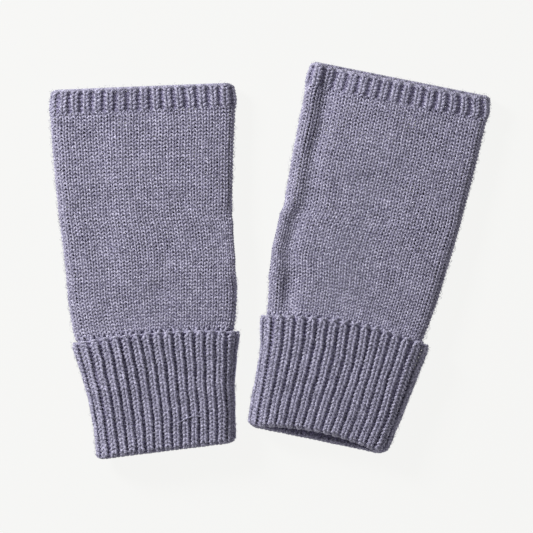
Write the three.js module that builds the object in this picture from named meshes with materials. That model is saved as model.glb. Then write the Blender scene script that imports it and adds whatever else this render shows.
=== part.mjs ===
// A pair of fingerless gloves, knitted in wool and laid flat side by side, palms down.
// Each glove is a flattened tube: a plain-knit hand with a thumb slit in its side seam, a ribbed band
// round the fingers, and a ribbed wrist whose lower half is turned up as a loose outer cuff.
// Units are millimetres, +Z is up, and the origin is at the middle of the pair's underside.
import * as THREE from "three";

// ---- Driving dimensions ----
const HAND_WALL = 2.2; // thickness of the knitted fabric of the hand, the band and the wrist
const CUFF_WALL = 2.6; // thickness of the turned-up layer of the rib
const CUFF_EASE = 0.4; // air between the turned-up layer and the wrist inside it
const GAP = 0.3; // clearance between pieces that meet
const FOLD_DEPTH = 2.4; // how far the fold at the wrist end reaches along the glove
const EDGE_DEPTH = 1.6; // the cast-on edge of the cuff and the bound-off edge at the fingers
const BAND_LENGTH = 11; // the ribbed band round the fingers
const WRIST_TOP = 12.6; // height of the wrist's upper face above the table
const SEAM_HALF = 1.0; // half the width of a side seam, along the fabric
const SLIT_LENGTH = 40; // the thumb slit, along the side of the hand
const SLIT_HALF = 4; // half the slit's width where it is widest, along the fabric
const SLIT_EDGE = 1.3; // the bound edge on each side of the slit
const SLIT_CLEARANCE = 0.4; // clearance between that edge and the panel beside it
const TACK_LENGTH = 2.0; // the stitches that close each end of the slit
const TACK_PROUD = 0.4; // how far those stitches stand out of the seam
const LABEL = { width: 22, length: 14, thickness: 0.5 };
const SEGMENTS = { corner: 4, flat: 2 }; // steps round each quarter bend and across each face
const WRIST_STATIONS = [16, 30, 42, 50]; // shared by the wrist and the cuff round it, so that they stay clear

const CUFF_DEPTH = CUFF_WALL + CUFF_EASE; // from the cuff's outer face to the wrist's outer face

const COLOURS = { jersey: 0x8b889a, rib: 0x858294, edge: 0x918ea0, label: 0xe9e6df };

// Each glove's outline in its own frame: y runs from the fold at the wrist to the fingers, and x is
// positive towards the thumb. `cuff` and `hand` list [y, little-finger side x, thumb side x], `lean` is how
// far the courses climb per millimetre of x at some y, `arch` is how far their middle stands above their
// ends, and `lift` raises the upper edge of the fold.
const GLOVES = {
  left: {
    thumbSide: 1,
    place: { x: -49.9, y: -92.8, turn: 3.52 },
    length: 176.6,
    cuffTop: 55.8,
    slitMiddle: 97,
    cuff: [
      [0, -30.4, 31.2], [1.2, -32.4, 33.3], [3, -33.2, 34.2], [16, -33.2, 34.5], [29, -34.8, 35.1],
      [41, -37.6, 36.7], [50, -40.2, 38.2], [56, -42.0, 39.4],
    ],
    hand: [
      [54, -39.0, 36.0], [60, -40.7, 37.9], [68, -41.8, 39.1], [77, -42.4, 39.8], [87, -42.6, 41.1],
      [97, -42.9, 41.2], [107, -43.7, 40.8], [117, -44.4, 39.8], [127, -44.9, 40.6], [145, -45.4, 42.3],
      [162, -45.7, 44.0], [173, -45.2, 44.6], [177, -43.4, 42.4],
    ],
    lean: [[0, 0.065], [56, 0.01], [115, 0], [177, -0.022]],
    arch: [[0, 0], [56, 2.6], [100, 0]],
    lift: 0,
  },
  right: {
    thumbSide: -1,
    place: { x: 21.3, y: -87.5, turn: -13.54 },
    length: 179.8,
    cuffTop: 55,
    slitMiddle: 94,
    cuff: [
      [0, -31.8, 30.0], [1.6, -34.6, 32.2], [4, -36.4, 33.2], [14, -37.6, 33.8], [30, -39.6, 34.2],
      [42, -41.4, 35.4], [57, -43.9, 39.6],
    ],
    hand: [
      [56, -39.6, 36.4], [61, -40.6, 37.2], [70, -41.8, 38.7], [76, -42.4, 40.3], [84, -43.0, 42.6],
      [94, -43.6, 43.2], [104, -44.1, 42.8], [112, -44.5, 41.0], [118, -44.7, 41.6], [130, -45.0, 42.4],
      [150, -45.3, 43.2], [176, -45.2, 44.4], [179.8, -43.4, 42.6],
    ],
    lean: [[0, -0.03], [55, -0.056], [180, -0.04]],
    arch: [[0, 0], [55, 4.4], [100, 0]],
    lift: 2.6,
  },
};

// ---- Outline and section ----

// Straight interpolation in rows of [y, value, value, ...].
function between(rows, y) {
  const next = rows.findIndex((row) => row[0] > y);
  if (next === 0) return rows[0].slice(1);
  if (next < 0) return rows[rows.length - 1].slice(1);
  const [a, b] = [rows[next - 1], rows[next]];
  const t = (y - a[0]) / (b[0] - a[0]);
  return a.slice(1).map((value, i) => value + t * (b[i + 1] - value));
}

// The flattened tube at y: its two side edges and its lower and upper faces.
const cuffSection = (glove) => (y) => {
  const [outer, thumb] = between(glove.cuff, y);
  return { outer, thumb, bottom: 0, top: WRIST_TOP + CUFF_DEPTH };
};
const wristSection = (glove) => (y) => {
  const { outer, thumb } = cuffSection(glove)(y);
  return { outer: outer + CUFF_DEPTH, thumb: thumb - CUFF_DEPTH, bottom: CUFF_DEPTH, top: WRIST_TOP };
};
// The hand comes out of the cuff raised off the table, and settles on it towards the fingers.
const handSection = (glove) => {
  const start = glove.cuffTop;
  const faces = [
    [start, CUFF_DEPTH, WRIST_TOP], [start + 27, 0, 12.2], [start + 87, 0, 10.9], [glove.length, 0, 10.2],
  ];
  return (y) => {
    const [outer, thumb] = between(glove.hand, y);
    const [bottom, top] = between(faces, y);
    return { outer, thumb, bottom, top };
  };
};

// A point of the wall. `turn` runs round the section in six equal parts: the thumb edge up to the
// upper face (0 to 1), across it (1 to 2), down the outer edge (2 to 4), back under (4 to 5) and up (5 to 6).
function wallPoint(glove, section, y, turn, inset) {
  const { outer, thumb, bottom, top } = section(y);
  const radius = (top - bottom) / 2;
  const middle = (top + bottom) / 2;
  const centres = { thumb: thumb - radius, outer: outer + radius };
  const part = ((turn % 6) + 6) % 6;
  const quarter = Math.PI / 2;
  const onUpperFace = part >= 1 && part <= 2;
  const onLowerFace = part >= 4 && part <= 5;
  let centre = part < 1 || part > 5 ? centres.thumb : centres.outer;
  let angle = part < 1 ? part * quarter : (part < 4 ? part - 1 : part - 2) * quarter;
  if (onUpperFace) {
    centre = centres.thumb + (part - 1) * (centres.outer - centres.thumb);
    angle = quarter;
  } else if (onLowerFace) {
    centre = centres.outer + (part - 4) * (centres.thumb - centres.outer);
    angle = 3 * quarter;
  }
  const x = centre + (radius - inset) * Math.cos(angle);
  const z = middle + (radius - inset) * Math.sin(angle);
  const [lean] = between(glove.lean, y);
  const [arch] = between(glove.arch, y);
  const fromMiddle = (2 * x - thumb - outer) / (thumb - outer);
  const climb = lean * x + arch * (1 - fromMiddle ** 2) + frontLift(glove, y, part);
  return new THREE.Vector3(x * glove.thumbSide, y + climb, z);
}

// The upper half of the fold sits a little further up the glove than the lower half.
function frontLift(glove, y, part) {
  const nearFold = Math.max(0, 1 - y / 18);
  return part < 3 ? glove.lift * nearFold * Math.sin((part * Math.PI) / 3) : 0;
}

// The turn that the wall's middle line reaches `arc` millimetres from the side edge.
function turnAlong(section, y, arc) {
  const { bottom, top } = section(y);
  const radius = (top - bottom - HAND_WALL) / 2;
  return arc / (radius * (Math.PI / 2));
}

// ---- Solids ----

// Sweeps a closed profile of [y, inset] points round the section, all the way round or from one turn to
// another. A profile's second half runs back along its first half, so that its ends close as a ladder.
function sweep(glove, section, profile, turns, closed) {
  const positions = [];
  const index = [];
  const rings = profile.map(([y, inset]) => turns(y).map((turn) => wallPoint(glove, section, y, turn, inset)));
  const around = rings[0].length;
  rings.forEach((ring) => ring.forEach((p) => positions.push(p.x, p.y, p.z)));
  const vertex = (ring, step) => (ring % profile.length) * around + (step % around);
  const quad = (a, b, c, d) => {
    const order = glove.thumbSide > 0 ? [a, b, c, a, c, d] : [a, c, b, a, d, c];
    index.push(...order);
  };
  for (let ring = 0; ring < profile.length; ring++) {
    for (let step = 0; step < (closed ? around : around - 1); step++) {
      quad(vertex(ring, step), vertex(ring, step + 1), vertex(ring + 1, step + 1), vertex(ring + 1, step));
    }
  }
  if (!closed) {
    const last = profile.length - 1;
    for (let ring = 0; ring < last - ring - 1; ring++) {
      quad(vertex(ring, 0), vertex(ring + 1, 0), vertex(last - ring - 1, 0), vertex(last - ring, 0));
      const end = around - 1;
      quad(vertex(last - ring, end), vertex(last - ring - 1, end), vertex(ring + 1, end), vertex(ring, end));
    }
  }
  const geometry = new THREE.BufferGeometry();
  geometry.setAttribute("position", new THREE.Float32BufferAttribute(positions, 3));
  geometry.setIndex(index);
  geometry.computeVertexNormals();
  return geometry;
}

// A wall's profile: out along its stations on the inner face, and back on the outer face.
const wall = (stations, thickness, proud = 0) => [
  ...stations.map((y) => [y, thickness]),
  ...stations.toReversed().map((y) => [y, -proud]),
];

const steps = (from, to, count) => Array.from({ length: count + 1 }, (_, i) => from + ((to - from) * i) / count);

// The turns of a whole ring, finer in the four corners than on the two faces.
function fullTurn() {
  const { corner, flat } = SEGMENTS;
  const parts = [corner, flat, corner, corner, flat, corner];
  return parts.flatMap((count, part) => steps(part, part + 1, count).slice(0, -1));
}

// The turns of one panel, from the edge near the thumb to the edge near the little finger.
function panelTurns(thumbEdge, outerEdge) {
  const { corner, flat } = SEGMENTS;
  return [
    ...steps(thumbEdge, 1, corner).slice(0, -1), ...steps(1, 2, flat).slice(0, -1),
    ...steps(2, outerEdge, corner),
  ];
}

// ---- The thumb slit ----

const slitEnds = (glove) => [glove.slitMiddle - SLIT_LENGTH / 2, glove.slitMiddle + SLIT_LENGTH / 2];

// Half the slit's opening at y, and where the panels stop beside it.
function slitHalf(glove, y) {
  const along = Math.abs(y - glove.slitMiddle) / (SLIT_LENGTH / 2);
  return along >= 1 ? 0 : SLIT_HALF * (1 - along ** 3);
}
function panelEdge(glove, y) {
  const [low, high] = slitEnds(glove);
  const beside = y < low || y > high ? SEAM_HALF : Math.max(slitHalf(glove, y), GAP) + SLIT_EDGE;
  return beside + SLIT_CLEARANCE;
}

function slitStations(glove) {
  const [low, high] = slitEnds(glove);
  const inwards = [0, 1, 2.5, 5, 9, 14];
  return [...inwards.map((step) => low + step), ...inwards.toReversed().map((step) => high - step)];
}

// ---- Pieces ----

const cloth = (color, roughness) => new THREE.MeshStandardMaterial({ color, roughness, metalness: 0 });
const MATERIALS = {
  jersey: cloth(COLOURS.jersey, 0.95),
  rib: cloth(COLOURS.rib, 0.95),
  edge: cloth(COLOURS.edge, 0.95),
  label: cloth(COLOURS.label, 0.6),
};

function piece(name, geometry, material) {
  const mesh = new THREE.Mesh(geometry, material);
  mesh.name = name;
  return mesh;
}

function panels(side, glove) {
  const section = handSection(glove);
  const [low, high] = slitEnds(glove);
  const top = glove.length - EDGE_DEPTH - BAND_LENGTH - 2 * GAP;
  const start = glove.cuffTop + 1.3;
  const stations = [
    start, start + 5, low - TACK_LENGTH, ...slitStations(glove), high + TACK_LENGTH, 130, 146, top,
  ];
  const profile = wall(stations, HAND_WALL);
  const edges = (y) => [
    turnAlong(section, y, panelEdge(glove, y)),
    3 - turnAlong(section, y, SEAM_HALF + GAP),
  ];
  const back = (y) => panelTurns(...edges(y));
  const palm = (y) => panelTurns(...edges(y)).map((turn) => 6 - turn).toReversed();
  return [
    piece(`${side}_back_panel`, sweep(glove, section, profile, back, false), MATERIALS.jersey),
    piece(`${side}_palm_panel`, sweep(glove, section, profile, palm, false), MATERIALS.jersey),
  ];
}

// A narrow strip of the wall between the panels, from `low` to `high` millimetres round from the side edge.
function strip(glove, stations, middleTurn, span, proud = 0) {
  const section = handSection(glove);
  const turns = (y) => {
    const [low, high] = span(y);
    return steps(middleTurn + turnAlong(section, y, low), middleTurn + turnAlong(section, y, high), 2);
  };
  return sweep(glove, section, wall(stations, HAND_WALL, proud), turns, false);
}

function seams(side, glove) {
  const [low, high] = slitEnds(glove);
  const start = glove.cuffTop + 1.3;
  const top = glove.length - EDGE_DEPTH - BAND_LENGTH - 2 * GAP;
  const seam = () => [-SEAM_HALF, SEAM_HALF];
  const upper = (y) => [Math.max(slitHalf(glove, y), GAP / 2), Math.max(slitHalf(glove, y), GAP) + SLIT_EDGE];
  const lower = (y) => upper(y).map((arc) => -arc).toReversed();
  const belowSlit = low - TACK_LENGTH - GAP;
  const aboveSlit = high + TACK_LENGTH + GAP;
  const bound = slitStations(glove);
  const tack = (from) => strip(glove, [from, from + TACK_LENGTH - GAP], 0, seam, TACK_PROUD);
  return [
    [`${side}_outer_side_seam`, strip(glove, [start, start + 5, 80, 112, 146, top], 3, seam)],
    [`${side}_thumb_side_seam_lower`, strip(glove, [start, start + 5, belowSlit], 0, seam)],
    [`${side}_thumb_side_seam_upper`, strip(glove, [aboveSlit, 130, 146, top], 0, seam)],
    [`${side}_thumb_slit_edge_back`, strip(glove, bound, 0, upper)],
    [`${side}_thumb_slit_edge_palm`, strip(glove, bound, 0, lower)],
    [`${side}_thumb_slit_tack_lower`, tack(low - TACK_LENGTH)],
    [`${side}_thumb_slit_tack_upper`, tack(high + GAP)],
  ].map(([name, geometry]) => piece(name, geometry, MATERIALS.edge));
}

// A rounded ring as thick as the wall, for a knitted edge that ends at `end`.
const edgeProfile = (start, end, thickness) => [
  [start, thickness], [end - 0.5, thickness], [end, thickness * 0.72],
  [end, thickness * 0.28], [end - 0.5, 0], [start, 0],
];

function fingerEnd(side, glove) {
  const section = handSection(glove);
  const bandEnd = glove.length - EDGE_DEPTH - GAP;
  const band = wall([bandEnd - BAND_LENGTH, bandEnd - BAND_LENGTH / 2, bandEnd], HAND_WALL);
  const edge = edgeProfile(bandEnd + GAP, glove.length, HAND_WALL);
  return [
    piece(`${side}_finger_rib_band`, sweep(glove, section, band, () => fullTurn(), true), MATERIALS.rib),
    piece(`${side}_finger_bind_off`, sweep(glove, section, edge, () => fullTurn(), true), MATERIALS.edge),
  ];
}

function wrist(side, glove) {
  const stations = [FOLD_DEPTH + GAP, ...WRIST_STATIONS, glove.cuffTop + 1];
  const geometry = sweep(glove, wristSection(glove), wall(stations, HAND_WALL), () => fullTurn(), true);
  return piece(`${side}_wrist_rib`, geometry, MATERIALS.rib);
}

// The turned-up layer, its cast-on edge, and the fold that carries it round to the wrist inside.
function cuff(side, glove) {
  const section = cuffSection(glove);
  const edgeStart = glove.cuffTop - EDGE_DEPTH;
  const layer = wall([FOLD_DEPTH + GAP, ...WRIST_STATIONS, edgeStart - GAP], CUFF_WALL);
  const edge = edgeProfile(edgeStart, glove.cuffTop, CUFF_WALL);
  const depth = CUFF_DEPTH + HAND_WALL;
  const fold = [
    [FOLD_DEPTH, 0], [1.1, 0], [0, depth * 0.3], [0, depth * 0.7], [1.1, depth], [FOLD_DEPTH, depth],
  ];
  return [
    piece(`${side}_turned_cuff`, sweep(glove, section, layer, () => fullTurn(), true), MATERIALS.rib),
    piece(`${side}_cuff_cast_on_edge`, sweep(glove, section, edge, () => fullTurn(), true), MATERIALS.edge),
    piece(`${side}_cuff_fold`, sweep(glove, section, fold, () => fullTurn(), true), MATERIALS.rib),
  ];
}

// A blank care label sewn inside the hand, flat on the palm beside the outer seam.
function careLabel(glove) {
  const y = glove.cuffTop + 34;
  const { outer, bottom } = handSection(glove)(y);
  const { width, length, thickness } = LABEL;
  const label = piece("left_care_label", new THREE.BoxGeometry(width, length, thickness), MATERIALS.label);
  label.position.set(outer + 7 + width / 2, y, bottom + HAND_WALL + GAP + thickness / 2);
  return label;
}

function makeGlove(side) {
  const glove = GLOVES[side];
  const group = new THREE.Group();
  const { x, y, turn } = glove.place;
  group.add(...panels(side, glove), ...seams(side, glove), ...fingerEnd(side, glove));
  group.add(wrist(side, glove), ...cuff(side, glove));
  if (side === "left") group.add(careLabel(glove));
  group.position.set(x, y, 0);
  group.rotation.z = THREE.MathUtils.degToRad(turn);
  return group;
}

const pair = new THREE.Group();
pair.add(makeGlove("left"), makeGlove("right"));
const bounds = new THREE.Box3().setFromObject(pair, true);
const centre = bounds.getCenter(new THREE.Vector3());
pair.position.set(-centre.x, -centre.y, -bounds.min.z);

export default pair;
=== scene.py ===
"""A pair of knitted fingerless gloves lying on a pale table, seen from straight above.

Every visible layer is real knitting: yarn loops worked out stitch by stitch, laid on the flattened
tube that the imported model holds. Lengths are in millimetres until a mesh is made, then in metres.
In a glove's own frame x runs towards the thumb and y from the cuff's fold to the fingers."""

import math

import bpy
import numpy as np
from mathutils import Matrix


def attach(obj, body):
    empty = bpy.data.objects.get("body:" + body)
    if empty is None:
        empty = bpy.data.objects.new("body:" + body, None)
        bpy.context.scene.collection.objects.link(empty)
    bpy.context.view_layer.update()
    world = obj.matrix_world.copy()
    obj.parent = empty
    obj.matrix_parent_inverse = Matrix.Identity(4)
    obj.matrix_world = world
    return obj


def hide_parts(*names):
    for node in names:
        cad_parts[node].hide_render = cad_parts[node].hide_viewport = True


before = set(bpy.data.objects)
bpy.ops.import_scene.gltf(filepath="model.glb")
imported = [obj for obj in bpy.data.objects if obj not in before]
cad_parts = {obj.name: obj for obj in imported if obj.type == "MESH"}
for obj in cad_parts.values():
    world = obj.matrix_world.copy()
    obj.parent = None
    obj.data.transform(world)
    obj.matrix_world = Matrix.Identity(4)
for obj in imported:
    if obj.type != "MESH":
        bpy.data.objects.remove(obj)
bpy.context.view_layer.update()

MM = 0.001

# ---- The knitting ----
WALES = 66  # columns of stitches round a glove; wale 0 is at the thumb side
SIDE_WALE = WALES // 2  # the wale at the outer side
COURSE = 1.76  # height of one row of stitches
YARN = 1.06  # thickness of the yarn
LOOP_DEPTH = 0.68  # how far a loop's legs stand in front of the fabric's middle, and its head behind
LOOP_SWING = 0.27  # how far the yarn swings sideways in a loop, in wales
LOOP_HEIGHT = 0.82  # half the height of a loop, in courses
SQUEEZE = 0.18  # how much closer the two legs of a loop stand than half a wale
PINCH = 0.18  # how much thinner the yarn is where loops cross than along their legs
POINTS = 9  # points on the yarn per stitch
SIDES = 5  # sides of the yarn's mesh
SEAM_DEPTH = -0.3  # how far out a seam's stitches lie: less than nothing, which makes a shallow groove

# ---- The ribs, whose knit wales stand forward and whose purl wales lie back ----
RIB_RISE = 1.05  # how far forward and back in the turned-up cuff
FLAT_RIB_RISE = 0.5  # the same in the finger band and in the wrist's inner layer
RIB_SPREAD = 0.02  # how much of a purl wale's width the knit wales beside it take, on each side
RIB_SQUEEZE = 0.95  # how much closer the two legs of a loop stand than half a wale
RIB_SWING = 0.35  # how far the yarn swings sideways in a loop, in wales
RIB_YARN = 1.48  # the relaxed yarn of the knit wales, as a multiple of the plain knitting's
RIB_WALE = 2.4  # width of a wale, in millimetres
RIB_SHARPNESS = 3  # how sharply a knit wale's loops give way to a purl wale's
PURL_LOOP = 0.3  # depth of a purl wale's loops, which face back, as a part of a knit wale's
LOWER_FLATTENING = 0.38  # how much of a rib is pressed flat on the lower face
TURN_FLATTENING = 0.7  # how much of a loop's depth is lost where the fabric turns
BAND_START = 3.5  # how far along the finger band its rib takes to stand up
BAND_OVERLAP = 0.3  # how far the finger band runs in under the bound-off edge
ROPE_TWIST = 2  # turns per wale of the two strands in a bound-off or cast-on edge

# Unevenness from stitch to stitch: how much, how quickly it changes, and what it adds to the seed.
UNEVEN = {
    "height": (0.10, 1.0, 1), "swing": (0.12, 1.0, 2), "sideways": (0.05, 0.6, 3),
    "slow_along": (0.12, 0.35, 4), "along": (0.05, 1.0, 5), "depth": (0.15, 0.8, 6), "out": (0.08, 0.5, 7),
    "thickness": (0.10, 1.3, 8), "slow_thickness": (0.08, 0.3, 9), "wander": (0.12, 0.2, 10),
    "rib_wander": (0.30, 0.11, 10), "rib_rise": (0.25, 0.25, 11),
}
COURSE_NOISE = (0.9, 5)  # a course's place in that noise: its scale beside a wale's, and where it starts

# The painted light on the yarn, from 0, painted shade deep between the stitches, to 1 on the loose fibres. In
# a rib the yarn is in full painted shade where it lies the purl part of the rise and the margin back, and
# fully lit where it lies the knit part of the rise and the margin forward.
PAINTED_LIGHT_RANGE = 0.84  # the full painted light of knitted yarn
PAINTED_LIGHT_PURL = 0.55
PAINTED_LIGHT_KNIT = 0.5
PAINTED_LIGHT_MARGIN = 0.35
PAINTED_LIGHT_ROUND = 0.16  # how much the painted light changes round a strand: lighter on its outer side, painted shade on its inner side
PAINTED_LIGHT_STRAND = 0.8  # the painted light of a strand that isn't knitted

# ---- Loose fibres ----
FIBRE = 0.10  # thickness
FIBRE_POINTS = 6
FIBRE_BEND = 1.6  # how far a fibre turns at most, in radians
FIBRE_LENGTH = (1.4, 4.5)
FIBRE_RISE = (0.2, 1.1)  # the square root of how far it stands off
FIBRE_CLEARANCE = 0.8  # how far it stays from the thumb slit

# ---- Where the fabric's middle lies in the walls of the model ----
INSETS = {"cuff": 1.55, "wrist": 1.5, "hand": 1.1}
FOLD_START = 2.9  # from the very end of the glove to where the cuff starts to turn
FOLD_RADIUS = 1.3
FOLD_OVERRUN = 0.5  # how far past its two ends the fold goes on turning, in radians

# ---- The gloves as they lie ----
# thumb: 1 where the thumb side is on the right; turn: the whole glove's turn in degrees. Against y:
# lean: how fast a course climbs across the glove; arch: how much further along its middle lies.
# lift: how much further along the middle of the fold's upper half lies; round: how far the fold's
# corners are cut back; drop: how far back the middle of the finger end's upper layer lies.
GLOVES = {
    "left": {
        "thumb": 1, "turn": 3.52, "lean": [(0, 0.065), (56, 0.01), (115, 0), (177, -0.022)],
        "arch": [(0, 0), (56, 2.6), (100, 0)], "lift": 0.0, "round": 0.8, "drop": 0.0, "crease_seed": 11,
    },
    "right": {
        "thumb": -1, "turn": -13.54, "lean": [(0, -0.03), (55, -0.056), (180, -0.04)],
        "arch": [(0, 0), (55, 4.4), (100, 0)], "lift": 4.8, "round": 2.2, "drop": 1.3, "crease_seed": 12,
    },
}
# Dents and swells of the upper layers: the edge that the distance across is measured from, that distance,
# the distance along, half the width, half the length, and the height.
RELIEF = {
    "left": [("outer", 19, 125, 9, 60, -1.2), ("thumb", 39, 76, 6, 5, -0.9), ("outer", 6.5, 81, 5, 9, -0.7)],
    "right": [("thumb", 11, 120, 4.2, 62, -1.5), ("thumb", 11.5, 160, 5, 24, -1.1),
              ("thumb", 4, 120, 3.2, 68, 0.9), ("thumb", 9.5, 68, 4, 9, -1.6),
              ("thumb", 15, 175, 9, 12, -1.4)],
}
CREASES = [(0.45, 17, 21), (0.25, 7, 8)]  # random creases: their height, and their size across and along
CREASE_START = (31, 7)  # where their noise starts
CROWN = 0.34  # how much thinner a glove is at its side edges than in its middle
UPPER = (-0.1, 0.75)  # how far up the wall the upper layer begins, and is all there, from -1 to 1
LOWER = 0.3  # how far round a side's lower quarter turn the lower face begins

# ---- The ends, which aren't square ----
# A place across is 0 in the glove's middle and 1 at its side edge.
LIFT_REACH = 24  # how far from the fold it is still lifted
FOLD_CORNER = (0.84, 1.02)  # where across the fold's rounding begins and ends
FOLD_REACH = 9  # how far along it reaches
END_CORNER = (0.93, 1.02)  # the same at the finger end
END_REACH = 9
END_ROUND = 1.7  # how far the finger end's corners are cut back
DROP_SIDE = 0.25  # how far from the side edge the finger end's drop is all there
DROP_REACH = 16

# ---- The thumb slit ----
SLIT_HALF = 4.0  # half its width, in its middle
SLIT_EDGE = 1.3  # width of its bound edge
SLIT_FADE = 8.0  # how far from the slit the wales beside it are still pushed aside

# ---- How the model is measured ----
RING_GAP = 0.55  # vertices this much further along belong to the next ring of the model
FACE_TOLERANCE = 0.05  # how level a flat face's vertices are
FACE_WIDTH = 40  # a flat face is wider than this
LOWER_RING = 0.5  # a ring with a lower face reaches below this part of the middle height
UPPER_RING = 1.2  # a ring with an upper face reaches above this part of it
FOLD_ROUNDED = 2  # where the fold's rounded end is over
FOLD_LIFTED = 5  # where the fold's lifted upper half is over
FIRST_HALF_WIDTH = 40.0  # half a glove's width, before it is measured


def smooth(x, low, high):
    """0 below low, 1 above high, and a smooth step between them."""
    t = np.clip((x - low) / (high - low), 0, 1)
    return t * t * (3 - 2 * t)


def value_noise(x, y, seed):
    """Smooth noise from -1 to 1 with one bump or so per unit of x and y."""
    size = 64
    table = np.random.default_rng(seed).uniform(-1, 1, (size, size))
    xi, yi = np.floor(x).astype(int), np.floor(y).astype(int)
    fx, fy = smooth(x - xi, 0, 1), smooth(y - yi, 0, 1)

    def at(i, j):
        return table[(xi + i) % size, (yi + j) % size]

    low = at(0, 0) + fx * (at(1, 0) - at(0, 0))
    high = at(0, 1) + fx * (at(1, 1) - at(0, 1))
    return low + fy * (high - low)


def unit(v):
    return v / np.maximum(np.linalg.norm(v, axis=-1, keepdims=True), 1e-9)


# ---- The flattened tube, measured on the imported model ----

class Glove:
    """One glove's own frame (x towards the thumb, y from the cuff's fold to the fingers) and outline."""

    def __init__(self, side):
        self.side = side
        self.facts = GLOVES[side]
        turn = math.radians(self.facts["turn"])
        self.along = np.array([-math.sin(turn), math.cos(turn), 0])
        self.across = np.array([math.cos(turn), math.sin(turn), 0]) * self.facts["thumb"]
        fold = self.vertices("cuff_fold")
        u = fold @ self.across
        x0 = (u.min() + u.max()) / 2
        y0 = (fold @ self.along - self.row("lean", 0) * (u - x0)).min()
        self.origin = self.across * x0 + self.along * y0
        # Rows of y, the middle across and half the width. They are needed to measure the outline along
        # the courses, and come from it, so it is measured twice.
        self.middles = np.array([[0.0, 0.0, FIRST_HALF_WIDTH]])
        for _ in range(2):
            self.layers = {
                "cuff": self.outline(["cuff_fold", "turned_cuff"]),
                "wrist": self.outline(["wrist_rib"]),
                "hand": self.outline(["back_panel", "palm_panel", "finger_rib_band"]),
            }
            y, outer, thumb = np.concatenate([self.layers["cuff"], self.layers["hand"]])[:, :3].T
            self.middles = np.stack([y, (outer + thumb) / 2, (thumb - outer) / 2], 1)
        self.cuff_top = self.span("cuff_cast_on_edge")[1]
        self.wrist_top = self.span("wrist_rib")[1]
        self.band = self.span("finger_rib_band")
        self.edge = self.span("finger_bind_off")
        self.slit = self.span("thumb_slit_edge_back")

    def vertices(self, node):
        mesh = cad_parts[f"{self.side}_{node}"].data
        co = np.empty(len(mesh.vertices) * 3)
        mesh.vertices.foreach_get("co", co)
        return co.reshape(-1, 3) / MM

    def local(self, points):
        """Points of the shared frame in the glove's own, with every course at one y."""
        p = points - self.origin
        x, y = p @ self.across, p @ self.along
        middle, half = (np.interp(y, self.middles[:, 0], self.middles[:, i]) for i in (1, 2))
        return np.stack([x, y - self.climb(x, y, middle, half), points[:, 2]], 1)

    def row(self, name, y):
        rows = np.array(self.facts[name])
        return np.interp(y, rows[:, 0], rows[:, 1])

    def climb(self, x, y, middle, half):
        """How much further along the glove a course is at x than its y says."""
        return self.row("lean", y) * x + self.row("arch", y) * (1 - ((x - middle) / half) ** 2)

    def span(self, node):
        y = self.local(self.vertices(node))[:, 1]
        return y.min(), y.max()

    def outline(self, nodes):
        """Rows of y, the two side edges and the lower and upper faces, from the ends of the flat faces."""
        points = np.concatenate([self.local(self.vertices(n)) for n in nodes])
        points = points[np.argsort(points[:, 1])]
        middle = (points[:, 2].min() + points[:, 2].max()) / 2
        rows, tops = [], []
        for ring in np.split(points, np.nonzero(np.diff(points[:, 1]) > RING_GAP)[0] + 1):
            y = ring[:, 1].mean()
            low = ring[ring[:, 2] < ring[:, 2].min() + FACE_TOLERANCE]
            high = ring[ring[:, 2] > ring[:, 2].max() - FACE_TOLERANCE]
            if ring[:, 2].min() < middle * LOWER_RING and np.ptp(low[:, 0]) > FACE_WIDTH:
                rows.append((y, low[:, 0].min(), low[:, 0].max(), low[0, 2]))
            if ring[:, 2].max() > middle * UPPER_RING and np.ptp(high[:, 0]) > FACE_WIDTH:
                tops.append((y, high[0, 2]))
        rows, tops = np.array(rows), np.array(tops)
        if rows[0, 0] < FOLD_ROUNDED:
            rows, tops = rows[rows[:, 0] > FOLD_ROUNDED], tops[tops[:, 0] > FOLD_LIFTED]
        top = np.interp(rows[:, 0], tops[:, 0], tops[:, 1])
        radius = (top - rows[:, 3]) / 2
        return np.stack([rows[:, 0], rows[:, 1] - radius, rows[:, 2] + radius, rows[:, 3], top], 1)

    def section(self, layer, y):
        """The tube's section at y: its side edges and middle height, its sides' radius, the radius of the
        fabric's middle there, the length of that middle's quarter turn and the width of the flat part."""
        rows = self.layers[layer]
        outer, thumb, low, high = (np.interp(y, rows[:, 0], rows[:, i]) for i in range(1, 5))
        radius = (high - low) / 2
        bend = radius - INSETS[layer]
        quarter = bend * math.pi / 2
        flat = thumb - outer - 2 * radius
        return outer, thumb, (high + low) / 2, radius, bend, quarter, flat

    def slit_half(self, y):
        middle, half = sum(self.slit) / 2, (self.slit[1] - self.slit[0]) / 2
        return SLIT_HALF * (1 - np.clip(np.abs(y - middle) / half, 0, 1) ** 3)

    def arc(self, layer, wale, y):
        """Millimetres round the fabric from the thumb edge to a wale, up over the back of the hand."""
        *_, quarter, flat = self.section(layer, y)
        half = flat + 2 * quarter
        arc = (wale + WALES / 2) % WALES * (2 * half / WALES) - half
        if layer == "hand":
            arc = arc + np.sign(arc) * self.slit_half(y) * np.exp(-np.abs(arc) / SLIT_FADE)
        return arc

    def relief(self, x, y, outer, thumb):
        """Height of the upper layers' creases, dents and swells."""
        seed = self.facts["crease_seed"]
        x1, y1 = CREASE_START
        height = sum(rise * value_noise(x / wide + x1, y / long + y1, seed) for rise, wide, long in CREASES)
        for edge, inward, along, half_width, half_length, rise in RELIEF[self.side]:
            middle = thumb - inward if edge == "thumb" else outer + inward
            fall = -((x - middle) / half_width) ** 2 - ((y - along) / half_length) ** 4
            height = height + rise * np.exp(fall)
        return height

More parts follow.
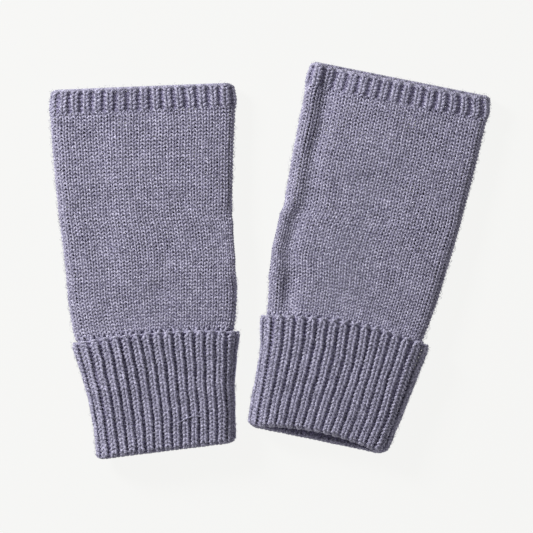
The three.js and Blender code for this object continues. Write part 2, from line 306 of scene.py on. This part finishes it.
    def shift(self, x, y, outer, thumb, upper):
        """How much further along than its course a point lies, where the glove's ends aren't square."""
        centre, half_width = (thumb + outer) / 2, (thumb - outer) / 2
        beside = np.abs(x - centre) / half_width
        end = self.edge[1]
        bulge = np.sin(math.pi * np.clip((thumb - x) / (2 * half_width), 0, 1))
        shift = self.facts["lift"] * np.clip(1 - y / LIFT_REACH, 0, None) ** 1.5 * upper * bulge
        shift = shift - END_ROUND * smooth(beside, *END_CORNER) * smooth(y, end - END_REACH, end)
        near_fold = np.clip(1 - y / FOLD_REACH, 0, 1)
        shift = shift + self.facts["round"] * smooth(beside, *FOLD_CORNER) * near_fold ** 2
        drop = self.facts["drop"] * upper * smooth(y, end - DROP_REACH, end)
        return shift - drop * smooth(1 - beside, 0, DROP_SIDE)

    def point(self, layer, arc, y, out):
        """The place of a point and the way the fabric faces there, in millimetres in the shared frame."""
        outer, thumb, middle, radius, bend, quarter, flat = self.section(layer, y)
        arc, y, out = np.broadcast_arrays(arc, y, out)
        size = np.abs(arc)
        first = np.clip(size, None, quarter)
        across = np.clip(size - quarter, 0, flat)
        second = np.clip(size - quarter - flat, 0, None)
        angle = (first + second) / bend
        x = thumb - radius - across + (bend + out) * np.cos(angle)
        rise = (bend + out) * np.sin(angle) * np.where(arc < 0, -1, 1)
        centre, half_width = (thumb + outer) / 2, (thumb - outer) / 2
        rise = rise * (1 - CROWN * np.clip(np.abs(x - centre) / half_width, 0, 1) ** 3)
        upper = smooth(rise / bend, *UPPER)
        y_on_table = y + self.climb(x, y, centre, half_width) + self.shift(x, y, outer, thumb, upper)
        place = self.origin + x[..., None] * self.across + y_on_table[..., None] * self.along
        place[..., 2] = middle + rise + self.relief(x, y, outer, thumb) * upper
        facing = np.cos(angle)[..., None] * self.across
        facing[..., 2] += np.sin(angle) * np.where(arc < 0, -1, 1)
        return place, facing

    def lower(self, layer, arc, y):
        """1 on the lower face, which the glove's weight presses flat, and 0 on the upper one."""
        *_, quarter, flat = self.section(layer, y)
        start = LOWER * quarter
        return smooth(-arc, start, quarter) * smooth(flat + 2 * quarter + arc, start, quarter)


# ---- Yarn ----

class Yarn:
    """Collects strands of yarn, given in millimetres, and makes one mesh of them in metres."""

    def __init__(self):
        self.vertices = []
        self.painted_lights = []
        self.quads = []
        self.quad_uvs = []
        self.caps = []
        self.count = 0

    def add(self, path, normal, radius, closed=False, sides=SIDES, tone=PAINTED_LIGHT_STRAND):
        """Adds strands along path, an array of strands, points and coordinates."""
        strands, points = path.shape[:2]
        if closed:
            tangent = np.roll(path, -1, 1) - np.roll(path, 1, 1)
            steps = np.linalg.norm(np.roll(path, -1, 1) - path, axis=-1)
        else:
            tangent = np.gradient(path, axis=1)
            steps = np.linalg.norm(np.diff(path, axis=1, append=path[:, -1:]), axis=-1)
        tangent = unit(tangent)
        beside = unit(np.cross(tangent, normal))
        above = np.cross(beside, tangent)
        angle = np.arange(sides) * 2 * math.pi / sides
        radius = np.broadcast_to(radius, (strands, points))[..., None, None]
        ring = np.cos(angle)[:, None] * above[:, :, None] + np.sin(angle)[:, None] * beside[:, :, None]
        self.vertices.append((path[:, :, None] + radius * ring).reshape(-1, 3))
        # Painted light at each point: lighter on the strand's outer side and painted shade on its inner side.
        tone = np.broadcast_to(tone, (strands, points))[..., None] + PAINTED_LIGHT_ROUND * np.cos(angle)
        self.painted_lights.append(np.clip(tone, 0, 1).reshape(-1))

        index = self.count + np.arange(strands * points * sides).reshape(strands, points, sides)
        this = index if closed else index[:, :-1]
        after = np.roll(index, -1, 1) if closed else index[:, 1:]
        quads = np.stack([this, np.roll(this, -1, 2), np.roll(after, -1, 2), after], -1)
        self.quads.append(quads.reshape(-1, 4))
        self.quad_uvs.append(self.strand_uvs(steps, this.shape))
        if not closed:
            self.caps.append(index[:, 0, ::-1])
            self.caps.append(index[:, -1])
        self.count += strands * points * sides

    @staticmethod
    def strand_uvs(steps, shape):
        """Corners' uv: once round a strand is 1 in u, and v is the length along it in millimetres."""
        strands, spans, sides = shape
        lengths = np.concatenate([np.zeros((strands, 1)), np.cumsum(steps, 1)], 1)
        u = np.arange(sides) / sides
        low, high = lengths[:, :spans, None], lengths[:, 1:spans + 1, None]
        corners = [(u, low), (u + 1 / sides, low), (u + 1 / sides, high), (u, high)]
        uvs = [np.stack([np.broadcast_to(a, shape), np.broadcast_to(b, shape)], -1) for a, b in corners]
        return np.stack(uvs, -2).reshape(-1, 2)

    def piece(self, name, material):
        vertices = np.concatenate(self.vertices) * MM
        quads = np.concatenate(self.quads)
        caps = np.concatenate(self.caps) if self.caps else np.zeros((0, 3), int)
        loops = np.concatenate([quads.ravel(), caps.ravel()])
        mesh = bpy.data.meshes.new(name)
        mesh.vertices.add(len(vertices))
        mesh.vertices.foreach_set("co", vertices.ravel())
        mesh.loops.add(len(loops))
        mesh.loops.foreach_set("vertex_index", loops)
        mesh.polygons.add(len(quads) + len(caps))
        cap_starts = len(quads) * 4 + np.arange(len(caps)) * caps.shape[1]
        starts = np.concatenate([np.arange(len(quads)) * 4, cap_starts])
        mesh.polygons.foreach_set("loop_start", starts)
        uv = np.zeros((len(loops), 2))
        uv[:len(quads) * 4] = np.concatenate(self.quad_uvs)
        mesh.update(calc_edges=True)
        mesh.uv_layers.new(name="yarn").data.foreach_set("uv", uv.ravel())
        # The painted light and shade per point, which the wool multiplies into its colour.
        mesh.attributes.new("tone", "FLOAT", "POINT").data.foreach_set("value", np.concatenate(self.painted_lights))
        mesh.shade_smooth()
        mesh.materials.append(material)
        obj = bpy.data.objects.new(name, mesh)
        bpy.context.scene.collection.objects.link(obj)
        return obj


# A fabric is its length and a function that turns a distance along it into y, the distance out, and
# two parts of the way its front faces: along the glove and out of it.

def straight(y0, y1):
    """Fabric that runs straight along the glove from y0 to y1."""
    length = abs(y1 - y0)

    def place(q):
        return y0 + (y1 - y0) * q / length, 0 * q, 0 * q, 1 + 0 * q
    return length, place


def folded():
    """Fabric that turns from the cuff's outside round the end of the glove to its inside."""
    length = math.pi * FOLD_RADIUS

    def place(q):
        turn = np.clip(q / FOLD_RADIUS, -FOLD_OVERRUN, math.pi + FOLD_OVERRUN)
        sin, cos = np.sin(turn), np.cos(turn)
        return FOLD_START - FOLD_RADIUS * sin, -FOLD_RADIUS * (1 - cos), -sin, cos
    return length, place


def knit(yarn, glove, layer, fabric, wales, courses, rise=0.0, seed=0, depth=0.0, fade=None):
    """Lays knitted courses, each one strand, through the wales whose middles are wales[0] to wales[1].

    A rib has a rise, which fade(y) may scale; depth moves the stitches out."""
    length, place = fabric
    ribbed = rise > 0
    across = wales[1] - wales[0] + 1
    closed = across == WALES
    step = np.arange(across * POINTS + (0 if closed else 1)) / POINTS
    course = np.arange(courses)[:, None]
    wale = wales[0] - 0.5 + step + 0 * course
    turn = 2 * math.pi * step

    def uneven(name):
        amount, scale, seed_step = UNEVEN[name]
        course_scale, start = COURSE_NOISE
        return amount * value_noise(wale * scale, course * scale * course_scale + start, seed + seed_step)

    # The loop, flat: u counts wales and v courses.
    half_height = LOOP_HEIGHT * (1 + uneven("height"))
    swing = RIB_SWING if ribbed else LOOP_SWING
    u = wale + swing * np.sin(2 * turn) * (1 + uneven("swing")) + uneven("sideways")
    v = course + 0.5 - half_height * np.cos(turn) + uneven("slow_along") + uneven("along")
    y, out, along, facing = place(v * (length / courses))

    # How far the rib and the loop itself stand out of the fabric.
    wave = math.pi * wale
    shape = (1 - np.abs(along)) * (1 if fade is None else fade(y))
    lower = glove.lower(layer, glove.arc(layer, wale, y), y)
    amount = shape * (1 - LOWER_FLATTENING * lower)
    front = np.clip(RIB_SHARPNESS * np.cos(wave), -PURL_LOOP, 1) * shape + 1 - shape if ribbed else 1.0
    lean = LOOP_DEPTH * (1 + uneven("depth")) * -np.cos(2 * turn) * front + uneven("out")
    lean = lean * (1 - TURN_FLATTENING * np.abs(along))
    tilt = rise * amount * math.pi * np.sin(wave) / RIB_WALE
    square = np.sqrt(1 + tilt ** 2)
    lift = rise * amount * np.cos(wave) * (1 + uneven("rib_rise")) + lean / square + depth

    # Sideways: the legs draw together, and knit wales take room from the purl ones.
    spread = (RIB_SPREAD * amount if ribbed else 0) * np.sin(math.pi * u)
    from_middle = u - np.round(u)
    squeeze = SQUEEZE + (RIB_SQUEEZE * np.clip(np.cos(wave), 0, 1) - SQUEEZE) * amount * ribbed
    u = u - squeeze * (1 - 4 * from_middle ** 2) * from_middle
    u = u + spread + lean * tilt / square / RIB_WALE + uneven("rib_wander" if ribbed else "wander") * amount

    # Along: the hand's lower face is half a course on, so that no gaps line up through the glove.
    y = y + lift * along
    if layer == "hand":
        y = y + COURSE / 2 * lower * (1 - smooth(y, glove.band[0], glove.edge[0]))
    path, normal = glove.point(layer, glove.arc(layer, u, y), y, out + lift * facing)
    normal = facing[..., None] * normal + along[..., None] * glove.along

    relaxed = 1 + (RIB_YARN - 1) * ribbed * amount * np.clip(0.5 + np.cos(wave), 0, 1)
    radius = YARN / 2 * relaxed * (1 + uneven("thickness") + uneven("slow_thickness"))
    radius = radius * (1 - PINCH * np.cos(2 * turn))
    # Painted shade: the yarn's colour darkens the further back it lies, between the stitches and in a rib's
    # purl wales.
    dark, bright = -LOOP_DEPTH, LOOP_DEPTH
    if ribbed:
        dark = -PAINTED_LIGHT_PURL * rise * amount - PAINTED_LIGHT_MARGIN
        bright = PAINTED_LIGHT_KNIT * rise * amount + PAINTED_LIGHT_MARGIN
    yarn.add(path, normal, radius, closed, tone=smooth(lift - depth, dark, bright) * PAINTED_LIGHT_RANGE)


def rope(yarn, glove, layer, y, out, radius, thick, wale):
    """Two strands twisted round a closed line given by y, out and wale."""
    turn = 2 * math.pi * ROPE_TWIST * wale
    wale = wale + RIB_SPREAD * np.sin(math.pi * wale)
    for phase in (0, math.pi):
        ys = y + radius * np.sin(turn + phase)
        outs = out + radius * np.cos(turn + phase)
        path, normal = glove.point(layer, glove.arc(layer, wale, ys), ys, outs)
        yarn.add(path[None], normal[None], thick / 2, closed=True)


def fuzz(yarn, glove, layer, y0, y1, out, count, seed):
    """Loose fibres that stand off the fabric: short curved hairs with both their ends near the yarn."""
    draw = np.random.default_rng(seed)
    wale = draw.uniform(0, WALES, (count, 1))
    y = draw.uniform(y0, y1, (count, 1))
    base = glove.arc(layer, wale, y)
    heading = draw.uniform(0, 2 * math.pi, (count, 1))
    bend = draw.uniform(-FIBRE_BEND, FIBRE_BEND, (count, 1))
    length = draw.uniform(*FIBRE_LENGTH, (count, 1))
    height = draw.uniform(*FIBRE_RISE, (count, 1)) ** 2
    t = np.linspace(0, 1, FIBRE_POINTS)
    way = heading + bend * t
    arc = base + np.cumsum(np.cos(way), 1) * length / FIBRE_POINTS
    ys = np.clip(y + np.cumsum(np.sin(way), 1) * length / FIBRE_POINTS, y0 - 1, y1 + 1)
    if layer == "hand":
        arc = np.sign(base) * np.maximum(np.abs(arc), glove.slit_half(ys) + FIBRE_CLEARANCE)
    path, normal = glove.point(layer, arc, ys, out + height * np.sin(math.pi * t))
    # Loose fibres get the fullest painted light.
    yarn.add(path, normal, FIBRE / 2 * (1 - 0.5 * t), sides=3, tone=1)


# ---- Materials ----

SPECK = (1300, 3)  # the two tones of the heather: how fine the noise is, and its detail
CLOUD = (260, 3)  # broad patches
CLOUD_SHADE = (0.82, 0.82, 0.83)
FIBRE_BUMP = (3800, 2)
WHITE = (1, 1, 1)


def wool(name, tint, shade, painted_shade_colour):
    """Heathered wool: two tones mottled along the yarn, painted shade where the yarn lies deep, plies, fine
    fibre bumps and a soft sheen.
    """
    material = bpy.data.materials.new(name)
    material.use_nodes = True
    nodes, links = material.node_tree.nodes, material.node_tree.links
    shader = nodes["Principled BSDF"]
    shader.inputs["Roughness"].default_value = 0.86
    shader.inputs["Specular IOR Level"].default_value = 0.25
    shader.inputs["Sheen Weight"].default_value = 0.25
    shader.inputs["Sheen Roughness"].default_value = 0.5
    place = nodes.new("ShaderNodeTexCoord").outputs["Object"]

    def noise(scale, detail):
        node = nodes.new("ShaderNodeTexNoise")
        node.inputs["Scale"].default_value = scale
        node.inputs["Detail"].default_value = detail
        links.new(place, node.inputs["Vector"])
        return node.outputs["Fac"]

    def ramp(value, low, low_colour, high, high_colour):
        node = nodes.new("ShaderNodeValToRGB")
        first, last = node.color_ramp.elements
        first.position, first.color = low, (*low_colour, 1)
        last.position, last.color = high, (*high_colour, 1)
        links.new(value, node.inputs["Fac"])
        return node.outputs["Color"]

    def multiply(a, b):
        node = nodes.new("ShaderNodeMix")
        node.data_type = "RGBA"
        node.blend_type = "MULTIPLY"
        node.inputs["Factor"].default_value = 1.0
        links.new(a, node.inputs["A"])
        links.new(b, node.inputs["B"])
        return node.outputs["Result"]

    speck = ramp(noise(*SPECK), 0.33, shade, 0.67, tint)
    cloud = ramp(noise(*CLOUD), 0.3, CLOUD_SHADE, 0.7, WHITE)
    # Painted shade: the colour is drawn down to the shade colour where the yarn's painted light is low.
    tone = nodes.new("ShaderNodeAttribute")
    tone.attribute_name = "tone"
    depth = ramp(tone.outputs["Fac"], 0.05, painted_shade_colour, 0.85, WHITE)
    links.new(multiply(multiply(speck, cloud), depth), shader.inputs["Base Color"])

    strand = nodes.new("ShaderNodeUVMap")
    strand.uv_map = "yarn"
    ply = nodes.new("ShaderNodeTexWave")
    ply.wave_type = "BANDS"
    ply.bands_direction = "DIAGONAL"
    ply.inputs["Scale"].default_value = 0.55
    ply.inputs["Distortion"].default_value = 0.6
    links.new(strand.outputs["UV"], ply.inputs["Vector"])
    total = nodes.new("ShaderNodeMath")
    total.operation = "ADD"
    links.new(ply.outputs["Fac"], total.inputs[0])
    links.new(noise(*FIBRE_BUMP), total.inputs[1])
    add_bump(material, total.outputs[0], strength=0.5, distance=0.00022)
    return material


def add_bump(material, height, strength, distance):
    nodes, links = material.node_tree.nodes, material.node_tree.links
    bump = nodes.new("ShaderNodeBump")
    bump.inputs["Strength"].default_value = strength
    bump.inputs["Distance"].default_value = distance
    links.new(height, bump.inputs["Height"])
    links.new(bump.outputs["Normal"], nodes["Principled BSDF"].inputs["Normal"])


def plain(name, colour, roughness):
    material = bpy.data.materials.new(name)
    material.use_nodes = True
    shader = material.node_tree.nodes["Principled BSDF"]
    shader.inputs["Base Color"].default_value = (*colour, 1)
    shader.inputs["Roughness"].default_value = roughness
    return material


def ribbon(name):
    """White satin ribbon: fine ribs across it, slightly uneven, painted shade in the grooves between them,
    and a soft gloss.
    """
    material = plain(name, (0.78, 0.76, 0.72), 0.45)
    nodes, links = material.node_tree.nodes, material.node_tree.links
    place = nodes.new("ShaderNodeTexCoord").outputs["Object"]
    weave = nodes.new("ShaderNodeTexWave")
    weave.bands_direction = "Y"
    weave.inputs["Scale"].default_value = 620
    weave.inputs["Distortion"].default_value = 0.8
    links.new(place, weave.inputs["Vector"])
    # Painted shade: the grooves between the ribs are darker and the ribs lighter.
    groove_shade_ramp = nodes.new("ShaderNodeValToRGB")
    groove_shade_ramp.color_ramp.elements[0].color = (0.62, 0.60, 0.56, 1)
    groove_shade_ramp.color_ramp.elements[1].color = (0.84, 0.82, 0.78, 1)
    links.new(weave.outputs["Fac"], groove_shade_ramp.inputs["Fac"])
    links.new(groove_shade_ramp.outputs["Color"], nodes["Principled BSDF"].inputs["Base Color"])
    add_bump(material, weave.outputs["Fac"], strength=0.35, distance=0.0001)
    return material


# The last colour of each wool is its painted shade, deep between the stitches.
JERSEY = wool("plain_knit_wool", (0.84, 0.81, 1.0), (0.20, 0.185, 0.30), (0.56, 0.53, 0.63))
RIB = wool("rib_knit_wool", (0.82, 0.79, 1.0), (0.15, 0.14, 0.23), (0.66, 0.62, 0.74))
EDGE = wool("knit_edge_wool", (0.80, 0.77, 0.97), (0.22, 0.21, 0.31), (0.22, 0.20, 0.28))


# ---- The pieces of a glove ----

CUFF_NODES = ("turned_cuff", "cuff_cast_on_edge", "cuff_fold")
ALL_WALES = (0, WALES - 1)
EDGE_POINTS = 10  # points on an edge's strands per wale
EDGE_WALES = np.arange(WALES * EDGE_POINTS) / EDGE_POINTS
RIPPLE = np.cos(math.pi * EDGE_WALES)  # an edge follows its rib out and in


def finish_piece(yarn, glove, part, node, material):
    piece = yarn.piece(f"{glove.side}_{part}", material)
    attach(piece, f"{glove.side}_cuff" if node in CUFF_NODES else f"{glove.side}_glove")
    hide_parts(f"{glove.side}_{node}")


def knit_jersey(glove, seed):
    """The back and the palm of the hand, and the seam between them on the outer side."""
    hand = straight(glove.wrist_top, glove.band[0])
    courses = round(hand[0] / COURSE)
    panels = [("back_panel", (1, SIDE_WALE - 1), seed), ("palm_panel", (SIDE_WALE + 1, WALES - 1), seed + 20)]
    for part, wales, panel_seed in panels:
        yarn = Yarn()
        knit(yarn, glove, "hand", hand, wales, courses, seed=panel_seed)
        finish_piece(yarn, glove, part + "_jersey", part, JERSEY)

    yarn = Yarn()
    knit(yarn, glove, "hand", hand, (SIDE_WALE, SIDE_WALE), courses, seed=seed + 40, depth=SEAM_DEPTH)
    finish_piece(yarn, glove, "outer_side_seam_chain", "outer_side_seam", EDGE)


def knit_thumb_seam(glove, seed):
    for part, y0, y1 in (("lower", glove.wrist_top, glove.slit[0]), ("upper", glove.slit[1], glove.band[0])):
        yarn = Yarn()
        seam = straight(y0, y1)
        knit(yarn, glove, "hand", seam, (0, 0), round(seam[0] / COURSE), seed=seed, depth=SEAM_DEPTH)
        node = f"thumb_side_seam_{part}"
        finish_piece(yarn, glove, node + "_chain", node, EDGE)


def bind_slit(glove):
    """Two strands twisted along each edge of the thumb slit."""
    pitch, coil, height, radius, margin = 2.6, 0.42, 0.1, 0.46, 0.5
    y = np.linspace(glove.slit[0] + margin, glove.slit[1] - margin, 400)
    for part, way in (("back", 1), ("palm", -1)):
        yarn = Yarn()
        for phase in (0, math.pi):
            turn = 2 * math.pi * y / pitch + phase
            arc = way * (glove.slit_half(y) + SLIT_EDGE / 2 + coil * np.sin(turn))
            path, normal = glove.point("hand", arc, y, height + coil * np.cos(turn))
            yarn.add(path[None], normal[None], radius)
        finish_piece(yarn, glove, f"thumb_slit_binding_{part}", f"thumb_slit_edge_{part}", EDGE)


def tack_slit(glove):
    """A strand wrapped five times across each end of the thumb slit."""
    wraps, half_width, half_length, radius = 5, 1.6, 1.0, 0.33
    t = np.linspace(0, wraps * 2 * math.pi, 120)
    for part, end in (("lower", glove.slit[0]), ("upper", glove.slit[1])):
        yarn = Yarn()
        y = end - half_length + 2 * half_length * t / t[-1]
        path, normal = glove.point("hand", half_width * np.cos(t), y, 0.25 + 0.35 * np.sin(t))
        yarn.add(path[None], normal[None], radius)
        finish_piece(yarn, glove, f"thumb_slit_wrap_{part}", f"thumb_slit_tack_{part}", EDGE)


def knit_band(glove, seed):
    yarn = Yarn()
    start = glove.band[0]
    band = straight(start, glove.band[1] + BAND_OVERLAP)
    knit(yarn, glove, "hand", band, ALL_WALES, round(band[0] / COURSE), rise=FLAT_RIB_RISE, seed=seed,
         fade=lambda y: smooth(y, start, start + BAND_START))
    finish_piece(yarn, glove, "finger_rib_band_knit", "finger_rib_band", RIB)


def bind_off(glove):
    yarn = Yarn()
    y = glove.edge[0] + 0.6 + 0 * EDGE_WALES
    rope(yarn, glove, "hand", y, 0.2 + 0.4 * RIPPLE, radius=0.5, thick=1.3, wale=EDGE_WALES)
    finish_piece(yarn, glove, "finger_bind_off_chain", "finger_bind_off", EDGE)


def knit_wrist(glove, seed):
    yarn = Yarn()
    wrist = straight(FOLD_START, glove.wrist_top)
    knit(yarn, glove, "wrist", wrist, ALL_WALES, round(wrist[0] / COURSE), rise=FLAT_RIB_RISE, seed=seed)
    finish_piece(yarn, glove, "wrist_rib_knit", "wrist_rib", RIB)


def knit_cuff(glove, seed):
    """The turned-up layer, whose courses run from its cast-on edge down to the fold."""
    yarn = Yarn()
    cuff = straight(glove.cuff_top - 1.4, FOLD_START)
    knit(yarn, glove, "cuff", cuff, ALL_WALES, round(cuff[0] / COURSE), rise=RIB_RISE, seed=seed)
    if glove.side == "left":
        lay_stray_strand(yarn, glove)
    finish_piece(yarn, glove, "turned_cuff_knit", "turned_cuff", RIB)


def lay_stray_strand(yarn, glove):
    """A loose thread that lies across the cuff near its fold."""
    first_wale, wales_long, from_fold = 8.0, 5.6, 15.5
    t = np.linspace(0, 1, 30)
    arc = glove.arc("cuff", first_wale + wales_long * t, from_fold)
    y = 15.2 + 0.9 * np.sin(4.2 * t) - t
    stray, facing = glove.point("cuff", arc, y, 1.9 + 0.8 * t * (1 - t))
    yarn.add(stray[None], facing[None], 0.3)


def knit_fold(glove, seed):
    yarn = Yarn()
    knit(yarn, glove, "cuff", folded(), ALL_WALES, 3, rise=RIB_RISE, seed=seed)
    finish_piece(yarn, glove, "cuff_fold_knit", "cuff_fold", RIB)


def cast_on(glove):
    yarn = Yarn()
    y = glove.cuff_top - 0.95 + 0.3 * RIPPLE
    rope(yarn, glove, "cuff", y, 1.1 * RIB_RISE * RIPPLE, radius=0.32, thick=1.0, wale=EDGE_WALES)
    finish_piece(yarn, glove, "cuff_cast_on_chain", "cuff_cast_on_edge", EDGE)


def knit_glove(glove, seed):
    knit_jersey(glove, seed)
    knit_thumb_seam(glove, seed + 50)
    bind_slit(glove)
    tack_slit(glove)
    knit_band(glove, seed + 60)
    bind_off(glove)
    knit_wrist(glove, seed + 70)
    knit_cuff(glove, seed + 80)
    knit_fold(glove, seed + 90)
    cast_on(glove)


def add_fuzz(glove, part, y0, y1, out, count, material, seed):
    """Fuzz over one layer, the hand or the cuff; out is how far from the fabric's middle it starts."""
    yarn = Yarn()
    fuzz(yarn, glove, part, y0, y1, out, count, seed)
    piece = yarn.piece(f"{glove.side}_{part}_fuzz", material)
    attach(piece, f"{glove.side}_cuff" if part == "cuff" else f"{glove.side}_glove")


for side, knit_seed, fuzz_seed in (("left", 100, 909), ("right", 500, 959)):
    glove = Glove(side)
    knit_glove(glove, knit_seed)
    add_fuzz(glove, "hand", glove.cuff_top, glove.edge[1], 1.05, 6000, JERSEY, fuzz_seed)
    add_fuzz(glove, "cuff", FOLD_START, glove.cuff_top, 1.7, 3000, RIB, fuzz_seed)

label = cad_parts["left_care_label"]
label.data.materials.clear()
label.data.materials.append(ribbon("label_ribbon_satin"))


# ---- Table, light and camera, in metres ----

TABLE_SIZE = 6
TABLE_DROP = 0.0004  # how far under the gloves' frame the table lies, so that no faces coincide
TABLE_GLOW = 0.885  # most of the table's white is its own, so that it stays even
CAMERA_HEIGHT = 3.0
SENSOR = 36  # millimetres
VIEW_CENTRE = (-0.0016, -0.00265)
VIEW_LEVEL = 0.008  # about the gloves' middle height
VIEW_WIDTH = 0.25584  # how much of that level the picture's width takes in


def lay_table():
    bpy.ops.mesh.primitive_plane_add(size=TABLE_SIZE, location=(0, 0, -TABLE_DROP))
    table = bpy.context.object
    table.name = "table"
    white = plain("table_white", (0.05, 0.05, 0.05), 0.9)
    shader = white.node_tree.nodes["Principled BSDF"]
    shader.inputs["Specular IOR Level"].default_value = 0
    shader.inputs["Emission Color"].default_value = (1, 1, 0.985, 1)
    shader.inputs["Emission Strength"].default_value = TABLE_GLOW
    table.data.materials.append(white)


def area_light(name, place, size, power):
    """A square light at place that faces the gloves."""
    light = bpy.data.lights.new(name, "AREA")
    light.size = size
    light.energy = power
    obj = bpy.data.objects.new(name, light)
    obj.location = place
    way = -np.array(place)
    tilt = math.acos(-way[2] / np.linalg.norm(way))
    obj.rotation_euler = (tilt, 0, math.atan2(way[1], way[0]) - math.pi / 2)
    bpy.context.scene.collection.objects.link(obj)


def light_world(strength):
    world = bpy.data.worlds.new("studio")
    world.use_nodes = True
    background = world.node_tree.nodes["Background"]
    background.inputs["Color"].default_value = (1, 1, 1, 1)
    background.inputs["Strength"].default_value = strength
    bpy.context.scene.world = world


def place_camera():
    camera = bpy.data.cameras.new("camera")
    camera.sensor_width = SENSOR
    camera.lens = SENSOR * (CAMERA_HEIGHT - VIEW_LEVEL) / VIEW_WIDTH
    camera.clip_end = 20
    obj = bpy.data.objects.new("camera", camera)
    obj.location = (*VIEW_CENTRE, CAMERA_HEIGHT)
    bpy.context.scene.collection.objects.link(obj)
    bpy.context.scene.camera = obj


lay_table()
area_light("key", (-0.95, 0.70, 0.70), 0.35, 18.5)
area_light("fill", (0.3, 0.1, 1.6), 1.2, 1.5)
light_world(0.17)
bpy.context.scene.view_settings.view_transform = "Standard"
place_camera()
